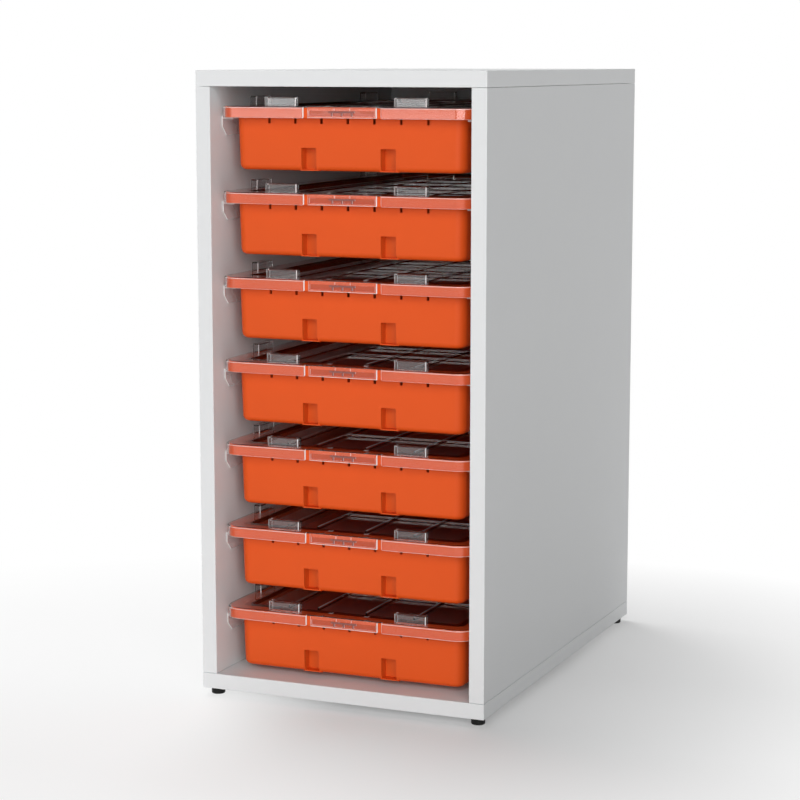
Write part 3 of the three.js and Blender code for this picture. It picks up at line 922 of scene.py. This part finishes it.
def lug_places():
    """Middle of each lug and whether its length runs along Y."""
    for _, sx in SIDES:
        for _, sy in ENDS:
            yield sx * END_LUG_X, sy * (LID_LENGTH / 2 - END_LUG_INSET), False
        for y in SIDE_LUG_Y:
            yield sx * (LID_WIDTH / 2 - SIDE_LUG_INSET), LID_FRONT + y, True


def lug_block(x, y, turned, inset, low, high, edge):
    """A block with rounded corners and a rounded top."""
    size = (LUG_WIDTH, LUG_LENGTH) if turned else (LUG_LENGTH, LUG_WIDTH)
    section = [(inset, low)] + fillet(inset + edge, high - edge, edge, 180, 90)
    rings = []
    for i, z in section:
        corner = max(LUG_CORNER - i, LUG_INNER_CORNER)
        rings.append(outline(size[0] - 2 * i, size[1] - 2 * i, corner, z, LUG_CORNER_STEPS))
    return moved(skin(rings), x, y)


def ribs():
    """The long ribs and the cross ribs on the floor of the sunk panel."""
    half = RIB_WIDTH / 2
    end = LID_LENGTH / 2 - RIB_FRONT
    right = PANEL_WIDTH / 2 + LID_WALL / 2
    rows = [LID_FRONT + RIB_FIRST_Y + i * RIB_PITCH_Y for i in range(RIB_COUNT_Y)]

    def section(middle, top):
        one_side = [
            (half + RIB_FOOT, -PANEL_SINK - RIB_ROOT),
            (half + RIB_FOOT, RIB_STEP - PANEL_SINK),
            (half, RIB_FOOT - PANEL_SINK),
            (half, top - RIB_EDGE),
            (half - RIB_EDGE, top),
        ]
        return [(middle + a, z) for a, z in one_side] + [(middle - a, z) for a, z in reversed(one_side)]

    long = [along_y(section(x, RIB_TOP), -end, end) for x in RIB_X]
    cross = [across_x(section(y, RIB_TOP - RIB_STEP), CROSS_START, right) for y in rows]
    return long, cross


def straps():
    """Two short straps that carry the clip."""
    front = LID_FRONT + STRAP_FRONT
    half = STRAP_WIDTH / 2
    return [
        slab((x - half, front, STRAP_BOTTOM), (x + half, front + STRAP_LENGTH, STRAP_TOP), STRAP_EDGE)
        for x in (-STRAP_X, STRAP_X)
    ]


def ticks():
    """Two small L-shaped marks on the plate behind the clip."""
    half = TICK_WIDTH / 2
    tip = half - TICK_LENGTH
    shape = [(half, -half), (half, TICK_LENGTH), (-half, TICK_LENGTH)]
    shape += [(-half, half), (tip, half), (tip, -half)]
    mark = [[(x, y, z) for x, y in shape] for z in (-RIB_ROOT, TICK_HEIGHT)]
    return [moved(skin(mark), x, LID_FRONT + TICK_Y) for x in (-TICK_X, TICK_X)]


def lid_face(middle, normal):
    """The material of a face of a lid: a painted highlight where light gathers in an edge, a rib or a mark, a
    little hazy on the sunk panel, and a painted shade on the walls round it."""
    at_front = middle.y < LID_FRONT + LID_WALL + RIM_GAP
    in_cutout = abs(middle.x) < CUTOUT_WIDTH / 2 + CUTOUT_CORNER
    cut_end = at_front and in_cutout and abs(normal.x) > TURNED
    skirt_foot = normal.z < -TILTED and middle.z < SKIRT_EDGE - SKIRT_HEIGHT
    outer = max(abs(middle.x) - LID_WIDTH / 2, abs(middle.y) + LID_FRONT) > -LID_CORNER
    first_strip = UPPER_STRIP[0] < normal.z < UPPER_STRIP[1]
    upper_edge = outer and first_strip and -LID_EDGE < middle.z < 0
    across = max(abs(normal.x), abs(normal.y))
    lug_edge = middle.z > LUG_EDGE and abs(normal.z) < TILTED and across < FLUSH
    if cut_end or skirt_foot or upper_edge or lug_edge:
        return EDGE_PAINTED_HIGHLIGHT
    tick = 0 < middle.z < LUG_EDGE and abs(middle.x) < STRAP_X - STRAP_WIDTH
    beside = abs(middle.x) - PANEL_WIDTH / 2
    beyond = abs(middle.y) - PANEL_LENGTH / 2
    on_panel = beside < -PANEL_EDGE and beyond < -PANEL_CORNER
    rib_top = on_panel and normal.z > TURNED and abs(middle.z - RIB_TOP) < RIB_EDGE
    if tick or rib_top:
        return GREY_PAINTED_HIGHLIGHT
    if on_panel and normal.z > SQUARE and middle.z < RIB_EDGE - PANEL_SINK:
        return CLEAR_PANEL
    round_panel = -PANEL_EDGE < max(beside, beyond) < LID_WALL + PANEL_EDGE
    wall = abs(normal.z) < SLANTED and -PANEL_SINK - LID_WALL < middle.z < 0
    return CLEAR_WALL_SHADE if round_panel and wall else CLEAR_LID


def lid():
    mesh = boolean(lid_shell(), "DIFFERENCE", clip_cutout())
    for group in ribs():
        mesh = boolean(mesh, "UNION", *group)
    places = list(lug_places())
    outer = [lug_block(*place, 0.0, -LID_WALL / 2, LUG_HEIGHT, LUG_EDGE) for place in places]
    mesh = boolean(mesh, "UNION", *outer, *straps())
    mesh = boolean(mesh, "UNION", *ticks())
    top = LUG_HEIGHT - LUG_WALL
    inner = [lug_block(*place, LUG_WALL, -LID_WALL - OVER, top, LUG_EDGE / 2) for place in places]
    mesh = boolean(mesh, "DIFFERENCE", *inner)
    mesh = finished(mesh, "lid", CLEAR_LID, EDGE_PAINTED_HIGHLIGHT, GREY_PAINTED_HIGHLIGHT, CLEAR_PANEL, CLEAR_WALL_SHADE)
    choose_materials(mesh, lid_face)
    return mesh


def clip_face(middle, normal):
    """The material of a face of a clip: a painted highlight on its edges and grooves, a painted shade on its
    shelf, and a darker painted shade on the sunk panel.
    """
    upright = abs(normal.x) > TURNED
    foot = normal.z < -TILTED and middle.z < CLIP_BOTTOM + SKIRT_EDGE
    groove = normal.y > SLANTED and abs(abs(middle.x) - CLIP_GROOVE_X) < CLIP_GROOVE
    if upright or foot or groove:
        return EDGE_PAINTED_HIGHLIGHT
    depth = middle.y - LID_FRONT
    on_shelf = abs(middle.x) < SHELF_WIDTH / 2 and CLIP_BOTTOM + CLIP_FRAME < middle.z < SHELF_Z
    proud = SHELF_SETBACK / 2 < depth < CLIP_SINK / 2
    if on_shelf and proud and normal.y < -TILTED:
        return SHELF_PAINTED_SHADE
    sunk = normal.y < -SQUARE and CLIP_SINK / 2 < depth < CLIP_THICKNESS
    return CLEAR_SUNK_SHADE if sunk else CLEAR_LID


def clip_plate():
    """A plate with a rounded upper edge and bevelled ends."""
    half = CLIP_WIDTH / 2
    radius = CLIP_THICKNESS / 2
    foot = CLIP_BOTTOM + SKIRT_EDGE
    rear = LID_FRONT + CLIP_THICKNESS
    section = fillet(LID_FRONT + SKIRT_EDGE, foot, SKIRT_EDGE, 180, 270, FINE_ARC_STEPS)
    section += fillet(rear - SKIRT_EDGE, foot, SKIRT_EDGE, 270, 360, FINE_ARC_STEPS)
    section += fillet(LID_FRONT + radius, CLIP_TOP - radius, radius, 0, 180, WIDE_ARC_STEPS)

    def ring(x, cut):
        return [(x, max(y, LID_FRONT + cut), z) for y, z in section]

    flat = half - CUT_CHAMFER
    return skin([ring(-half, CUT_CHAMFER), ring(-flat, 0), ring(flat, 0), ring(half, CUT_CHAMFER)])


def clip():
    """A plate with a sunk front panel, which has a small shelf on three gussets."""
    sunk_half = CLIP_WIDTH / 2 - CLIP_FRAME
    sunk_foot = CLIP_BOTTOM + CLIP_FRAME
    low, high = (-sunk_half, LID_FRONT - OVER, sunk_foot), (sunk_half, LID_FRONT + CLIP_SINK, -CLIP_BAND)
    cuts = [slab(low, high, CLIP_SINK_EDGE)]
    rear = LID_FRONT + CLIP_THICKNESS
    top = CLIP_TOP - CLIP_THICKNESS / 2
    for x in (-CLIP_GROOVE_X, CLIP_GROOVE_X):
        half = CLIP_GROOVE / 2
        cuts.append(slab((x - half, rear - CLIP_GROOVE, -CLIP_BAND), (x + half, rear + OVER, top)))
    mesh = boolean(clip_plate(), "DIFFERENCE", *cuts)
    root = LID_FRONT + SHELF_ROOT
    half = SHELF_WIDTH / 2
    low = (-half, LID_FRONT + SHELF_SETBACK, SHELF_Z - SHELF_THICKNESS)
    mesh = boolean(mesh, "UNION", slab(low, (half, root, SHELF_Z), SHELF_EDGE))
    legs = []
    for x in (-GUSSET_SPACING, 0.0, GUSSET_SPACING):
        half = GUSSET_WIDTH / 2
        low = (x - half, LID_FRONT + GUSSET_SETBACK, sunk_foot - GUSSET_ROOT)
        legs.append(slab(low, (x + half, root, SHELF_Z - SHELF_THICKNESS / 2), SHELF_EDGE))
    mesh = boolean(mesh, "UNION", *legs)
    mesh = finished(mesh, "clip", CLEAR_LID, EDGE_PAINTED_HIGHLIGHT, SHELF_PAINTED_SHADE, CLEAR_SUNK_SHADE)
    choose_materials(mesh, clip_face)
    return mesh


# Runners

def runner(sign):
    """A plate on the side wall, a ledge under the rim and two pegs."""

    def box_across(x0, x1, low, high, edge):
        x0, x1 = sorted((sign * x0, sign * x1))
        return slab((x0, *low), (x1, *high), edge)

    front = LID_FRONT + RUNNER_FRONT
    rear = front + RUNNER_LENGTH
    outer = INSIDE_HALF - SEAM
    section = [
        (front, RUNNER_TOP),
        (front, RUNNER_BOTTOM + RUNNER_CHAMFER),
        (front + RUNNER_CHAMFER, RUNNER_BOTTOM),
        (rear, RUNNER_BOTTOM),
        (rear, RUNNER_TOP),
    ]
    plate = rounded(across_x(section, sign * (outer - RUNNER_PLATE), sign * outer), RUNNER_EDGE)
    ledge_top = -SKIRT_HEIGHT - SEAM
    low, high = (front, ledge_top - LEDGE_THICKNESS), (rear, ledge_top)
    ledge = box_across(outer - LEDGE_WIDTH, outer - RUNNER_PLATE / 2, low, high, RUNNER_EDGE)
    mesh = boolean(plate, "UNION", ledge)
    pegs = []
    for y in (-PEG_Y, PEG_Y):
        peg = skin([circle(PEG_RADIUS, at) for at in (-RUNNER_PLATE / 2, PEG_LENGTH)])
        peg.transform(Matrix.Rotation(sign * math.pi / 2, 4, "Y"))
        pegs.append(moved(peg, sign * INSIDE_HALF, y - LEVEL_Y, PEG_Z))

    def runner_face(middle, normal):
        """The material of a face: a painted highlight on the plate's narrow edges and on the ledge's front
        end.
        """
        on_plate = outer - RUNNER_PLATE < abs(middle.x) < INSIDE_HALF
        if on_plate and abs(normal.x) < SQUARE:
            return EDGE_PAINTED_HIGHLIGHT
        return GREY_PAINTED_HIGHLIGHT if normal.y < -SLANTED else CLEAR_RUNNER

    mesh = finished(boolean(mesh, "UNION", *pegs), "runner", CLEAR_RUNNER, EDGE_PAINTED_HIGHLIGHT, GREY_PAINTED_HIGHLIGHT)
    choose_materials(mesh, runner_face)
    return mesh


def levels():
    tray_mesh, lid_mesh, clip_mesh = tray(), lid(), clip()
    runner_meshes = [(side, runner(sign)) for side, sign in SIDES]
    for number in LEVELS:
        place = level_place(number)
        tray_name, lid_name, clip_name = (f"{kind}_{number}" for kind in ("tray", "lid", "clip"))
        show(f"orange_{tray_name}", tray_mesh, tray_name, tray_name, place)
        show(f"clear_{lid_name}", lid_mesh, lid_name, lid_name, place)
        show(f"clear_{clip_name}", clip_mesh, clip_name, f"lid_{clip_name}", place)
        for side, mesh in runner_meshes:
            node = f"{side}_runner_{number}"
            show(f"clear_{node}", mesh, "carcass", node, place)


# Camera, light and stage

CAMERA_PLACE = (1043.0, -2557.8, 736.7)
CAMERA_YAW = 22.917
CAMERA_PITCH = -8.514
FOCAL_PIXELS = 2268.2
PHOTO_WIDTH = 800
SENSOR = 36.0


def camera():
    data = bpy.data.cameras.new("camera")
    data.sensor_width = SENSOR
    data.lens = FOCAL_PIXELS / PHOTO_WIDTH * SENSOR
    made = bpy.data.objects.new("camera", data)
    made.location = Vector(CAMERA_PLACE) * MM
    made.rotation_euler = (math.radians(90 + CAMERA_PITCH), 0, math.radians(CAMERA_YAW))
    bpy.context.scene.collection.objects.link(made)
    bpy.context.scene.camera = made


def softbox(name, place, target, width, height, power):
    """A flat lamp in metres that faces a target."""
    data = bpy.data.lights.new(name, "AREA")
    data.shape = "RECTANGLE"
    data.size = width
    data.size_y = height
    data.energy = power
    made = bpy.data.objects.new(name, data)
    made.location = place
    made.rotation_euler = (Vector(target) - Vector(place)).to_track_quat("-Z", "Y").to_euler()
    bpy.context.scene.collection.objects.link(made)


AMBIENT = 0.1
GLOSS_FRONT = 0.5  # what gloss mirrors of the room in front of the unit
SWEEP = (-0.3, 0.3)  # from front to back, the directions between which gloss turns to the white backdrop
FLOOR_WHITE = (0.86, 0.86, 0.86)
# Painted light: the floor before the trays is a cooler colour, to cancel the orange light that the trays
# bounce on to it.
FLOOR_FRONT = (0.79, 0.87, 0.875)  # before the trays, where their orange light falls on the floor
FLOOR_FRONT_DEPTH = 0.3
FLOOR_FRONT_EDGE = 0.04  # over which that ends at the front of the unit
FLOOR_FRONT_SIDE = 0.1  # and at its sides
# The floor glows white to the camera by a share painted by place: least at the unit, more on its left where
# the key light falls and behind it, less before it.
FLOOR_SHADE = (0.2, 1.6)  # share of plain white in the floor at the unit, and its growth per metre from it
FLOOR_LEFT = (0.7, 0.35)  # the same on the left, where the key light falls
FLOOR_FRONT_LOSS = 0.5  # how much of that share is lost per metre before the unit
FLOOR_BACK_GAIN = 0.4  # how much it gains per metre behind the unit's middle
LEFT_BLEND = 0.2
FLOOR_HALF = 30.0

# Lamps, in metres and watts. A far panel has a name, its degrees to the right of the front, the height of
# its middle, its width, its height and its power.
PANEL_DISTANCE = 10.0
FAR_PANELS = (
    ("left_panel", -28.0, 1.5, 6.6, 2.5, 92.0),
    ("right_panel", 22.5, 4.1, 9.6, 7.7, 820.0),
)
KEY_PLACE = (-2.4, 1.12, 4.24)
KEY_TARGET = (0.0, 0.0, 0.2)
KEY_SIZE = 3.0
KEY_POWER = 138.0


def world():
    """Even soft light, and a white backdrop for what is seen directly."""
    made = bpy.data.worlds.new("studio")
    made.use_nodes = True
    bpy.context.scene.world = made
    wiring = Wiring(made.node_tree)
    direction = wiring.add("ShaderNodeTexCoord").outputs["Generated"]
    split = wiring.add("ShaderNodeSeparateXYZ", Vector=direction)
    mirrored = wiring.mix(wiring.ease(split.outputs["Y"], *SWEEP), GLOSS_FRONT, 1.0)
    level = wiring.mix(wiring.path("Is Glossy Ray"), AMBIENT, mirrored)
    seen = wiring.math("MAXIMUM", wiring.path("Is Camera Ray"), wiring.path("Is Transmission Ray"))
    level = wiring.mix(seen, level, 1.0)
    background = wiring.tree.nodes["Background"]
    background.inputs["Color"].default_value = (1, 1, 1, 1)
    wiring.feed(background.inputs["Strength"], level)


def floor_material():
    """A pale floor that holds the unit's shadow and fades into the white backdrop. To the camera it glows
    white by a share set by place, which is painted light on the unit's left and behind it and painted shade
    before it.
    """
    made = bpy.data.materials.new("pale_floor")
    made.use_nodes = True
    wiring = Wiring(made.node_tree)
    wiring.tree.nodes.remove(wiring.tree.nodes["Principled BSDF"])
    place = wiring.add("ShaderNodeTexCoord").outputs["Object"]
    split = wiring.add("ShaderNodeSeparateXYZ", Vector=place).outputs
    x, y = split["X"], split["Y"]
    half = (cad_box[1] - cad_box[0]) / 2
    front = -half.y

    def plus(first, second):
        return wiring.math("ADD", first, second)

    def minus(first, second):
        return wiring.math("SUBTRACT", first, second)

    def times(first, second):
        return wiring.math("MULTIPLY", first, second)

    edge = front - FLOOR_FRONT_EDGE
    before = minus(wiring.ease(y, front - FLOOR_FRONT_DEPTH, edge), wiring.ease(y, edge, front))
    aside = wiring.ease(wiring.math("ABSOLUTE", x, 0.0), half.x - FLOOR_FRONT_SIDE, half.x)
    colour = wiring.blend(times(before, minus(1.0, aside)), FLOOR_WHITE, FLOOR_FRONT)
    diffuse = wiring.add("ShaderNodeBsdfDiffuse", Color=colour)
    white = wiring.add("ShaderNodeEmission", Strength=1.0)
    outside = wiring.vector("SUBTRACT", wiring.vector("ABSOLUTE", place), (half.x, half.y, 0))
    distance = wiring.vector("LENGTH", wiring.vector("MAXIMUM", outside))
    left = minus(1.0, wiring.ease(x, -half.x, LEFT_BLEND - half.x))
    start = wiring.mix(left, FLOOR_SHADE[0], FLOOR_LEFT[0])
    growth = wiring.mix(left, FLOOR_SHADE[1], FLOOR_LEFT[1])
    ahead = wiring.math("MINIMUM", minus(y, front), 0.0)
    ahead = wiring.math("MAXIMUM", ahead, -FLOOR_FRONT_DEPTH)
    share = plus(start, times(distance, growth))
    share = plus(share, times(wiring.math("MAXIMUM", y, 0.0), FLOOR_BACK_GAIN))
    share = plus(share, times(ahead, FLOOR_FRONT_LOSS))
    share = wiring.math("MINIMUM", share, 1.0)
    share = wiring.mix(wiring.path("Is Diffuse Ray"), share, 0.0)
    wiring.show_mix(share, diffuse.outputs[0], white.outputs[0])
    return made


def lamps():
    """Two far panels before the unit, clear of the floor, and a key light on its left, a little behind."""
    for name, azimuth, middle, width, height, power in FAR_PANELS:
        turn = math.radians(azimuth)
        place = (PANEL_DISTANCE * math.sin(turn), -PANEL_DISTANCE * math.cos(turn), middle)
        softbox(name, place, (0.0, 0.0, middle), width, height, power)
    softbox("side_key", KEY_PLACE, KEY_TARGET, KEY_SIZE, KEY_SIZE, KEY_POWER)


def stage():
    bm = bmesh.new()
    bmesh.ops.create_grid(bm, x_segments=1, y_segments=1, size=FLOOR_HALF)
    made = bpy.data.objects.new("floor", to_mesh(bm))
    made.data.materials.append(floor_material())
    bpy.context.scene.collection.objects.link(made)


carcass()
glides()
levels()
camera()
world()
lamps()
stage()
bpy.context.scene.view_settings.view_transform = "Standard"
